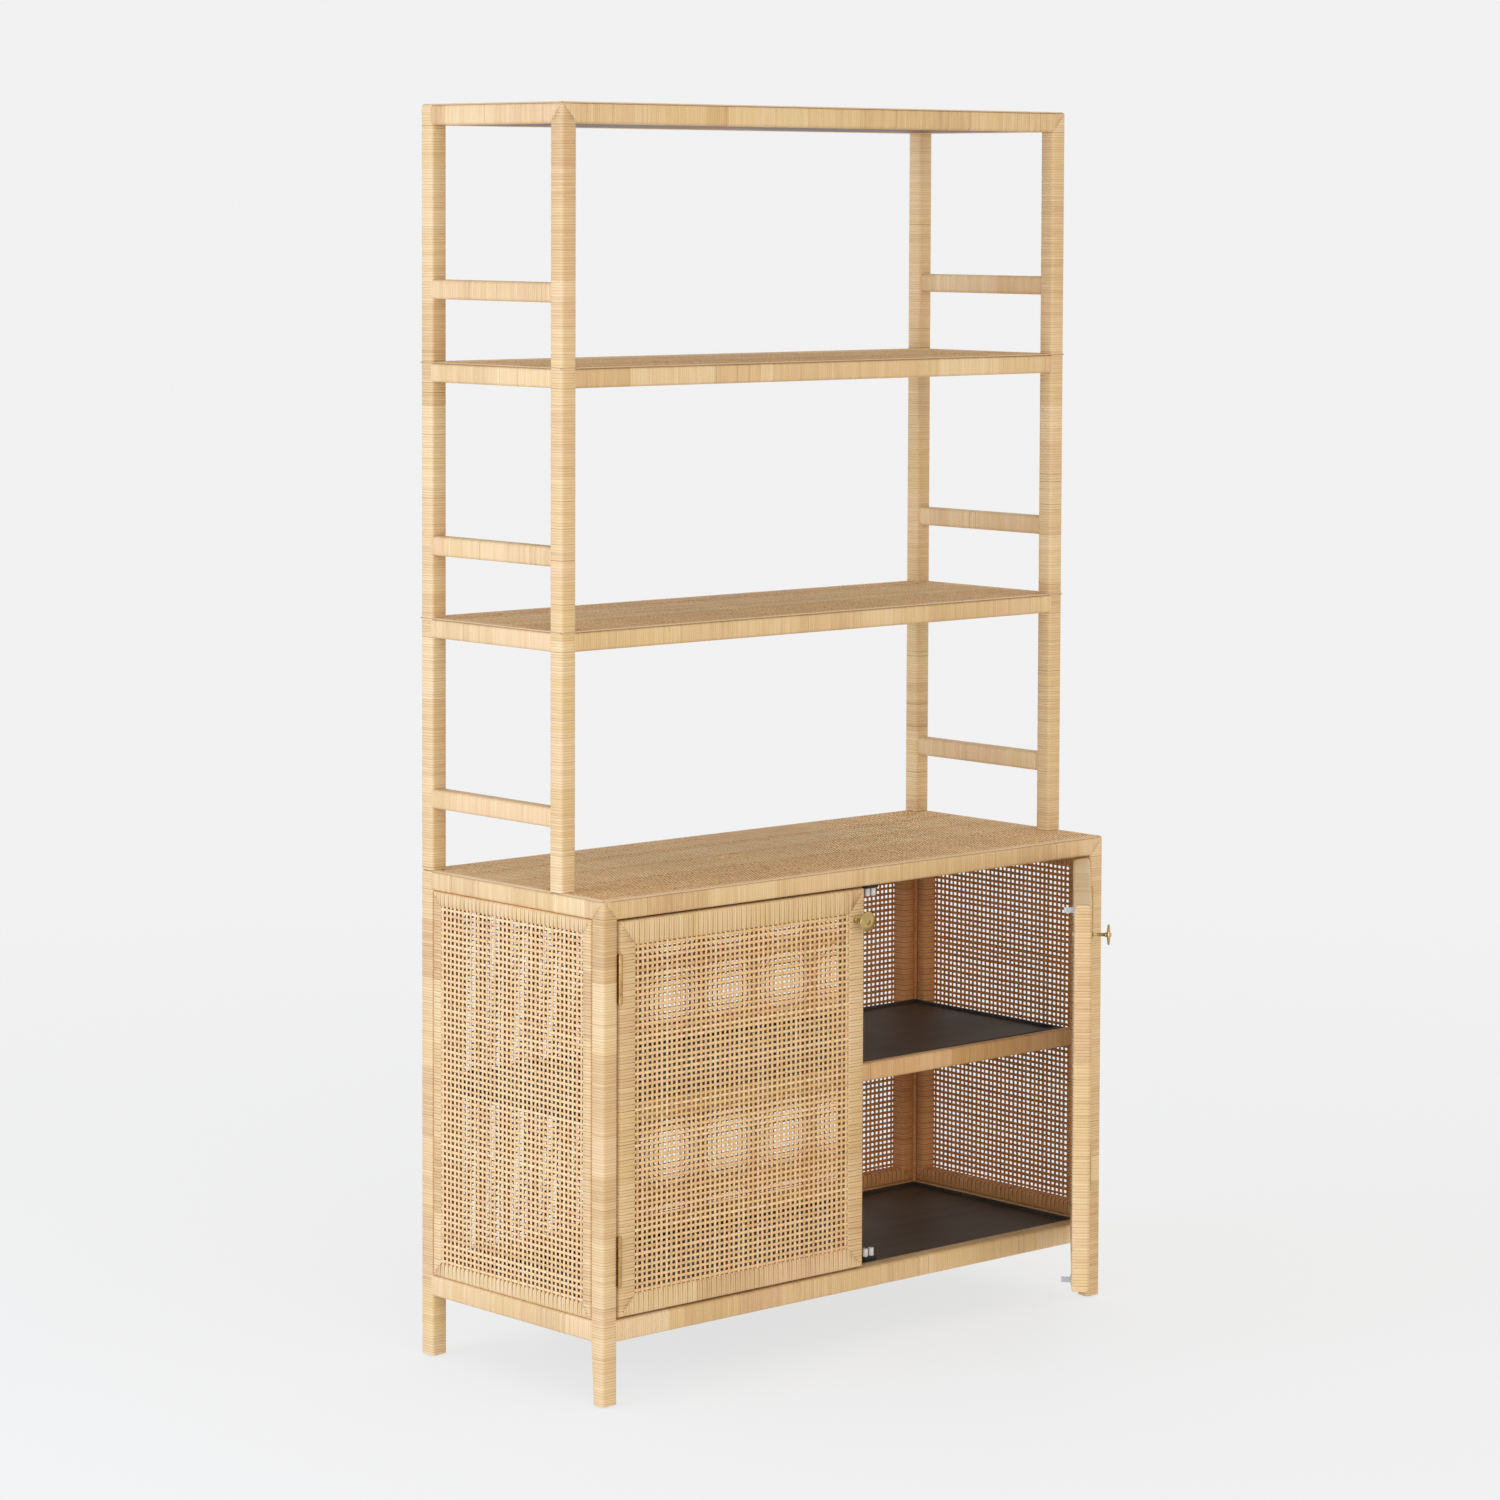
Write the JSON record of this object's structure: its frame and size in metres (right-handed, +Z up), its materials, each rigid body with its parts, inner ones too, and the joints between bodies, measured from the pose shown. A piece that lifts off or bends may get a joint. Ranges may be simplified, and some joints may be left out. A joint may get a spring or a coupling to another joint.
{
  "type": "storage cabinet",
  "caption": "Tall storage cabinet of rattan-wrapped bars: open shelving hutch with side rails above a cupboard with hinged woven cane doors.",
  "frame": {"origin": "on the floor, at the centre of the rectangle that the four legs stand on", "axes": "+X to the right as seen from the doors, +Y from the doors to the back, +Z up"},
  "size_m": [1.178, 0.8839, 2.134],
  "materials": {
    "rattan_wrap": "satin, narrow rattan strips wound round every bar",
    "cane_weave": "satin, woven cane sheet",
    "twill_mat": "satin, fine diagonal twill of split rattan",
    "dark_board": "dark stained board, low sheen",
    "dowel_wood": "plain hardwood",
    "brass": "satin brass",
    "screw_steel": "plated steel",
    "catch_metal": "black",
    "roller": "white",
    "foot": "dark brown"
  },
  "bodies": {
    "cabinet": {"leg_front_left": "rattan_wrap", "hutch_post_front_left": "rattan_wrap", "leg_front_right": "rattan_wrap", "hutch_post_front_right": "rattan_wrap", "leg_rear_left": "rattan_wrap", "hutch_post_rear_left": "rattan_wrap", "leg_rear_right": "rattan_wrap", "hutch_post_rear_right": "rattan_wrap", "bottom_rails": "rattan_wrap", "cabinet_top_rails": "rattan_wrap", "hutch_top_rails": "rattan_wrap", "shelf_upper_rails": "rattan_wrap", "shelf_lower_rails": "rattan_wrap", "gallery_rails_left": "rattan_wrap", "gallery_rails_right": "rattan_wrap", "mid_shelf_front_rail": "rattan_wrap", "side_panel_left_frame": "rattan_wrap", "side_panel_right_frame": "rattan_wrap", "back_panel_frame": "rattan_wrap", "side_panel_left_cane": "cane_weave", "side_panel_right_cane": "cane_weave", "back_panel_cane": "cane_weave", "cabinet_top_mat": "twill_mat", "hutch_top_mat": "twill_mat", "shelf_upper_mat": "twill_mat", "shelf_lower_mat": "twill_mat", "cabinet_top_board": "dark_board", "hutch_top_board": "dark_board", "hutch_ceiling_board": "dark_board", "shelf_upper_board": "dark_board", "shelf_lower_board": "dark_board", "floor_board": "dark_board", "floor_rim": "dark_board", "mid_shelf_board": "dark_board", "mid_shelf_rim": "dark_board", "mid_shelf_cleats": "dark_board", "frame_dowels": "dowel_wood", "hutch_dowels": "dowel_wood", "hinge_left_leg_leaves": "brass", "hinge_left_pins": "brass", "hinge_right_leg_leaves": "brass", "hinge_right_pins": "brass", "hinge_leg_screws": "brass", "catch_brackets": "catch_metal", "catch_rollers": "roller", "foot_glides": "foot"},
    "door_left": {"door_left_frame": "rattan_wrap", "door_left_cane": "cane_weave", "door_left_knob": "brass", "door_left_knob_screw": "screw_steel", "hinge_left_door_leaves": "brass", "hinge_left_door_screws": "brass", "door_left_strikes": "catch_metal"},
    "door_right": {"door_right_frame": "rattan_wrap", "door_right_cane": "cane_weave", "door_right_knob": "brass", "door_right_knob_screw": "screw_steel", "hinge_right_door_leaves": "brass", "hinge_right_door_screws": "brass", "door_right_strikes": "catch_metal"}
  },
  "joints": [
    {"name": "door_left_hinge", "type": "hinge", "parent": "cabinet", "child": "door_left", "pos_m": [-0.5554, -0.2436, 0.4725], "axis": [0, 0, -1], "range_deg": [0, 165]},
    {"name": "door_right_hinge", "type": "hinge", "parent": "cabinet", "child": "door_right", "pos_m": [0.5554, -0.2436, 0.4725], "axis": [0, 0, 1], "range_deg": [-44, 121]}
  ]
}
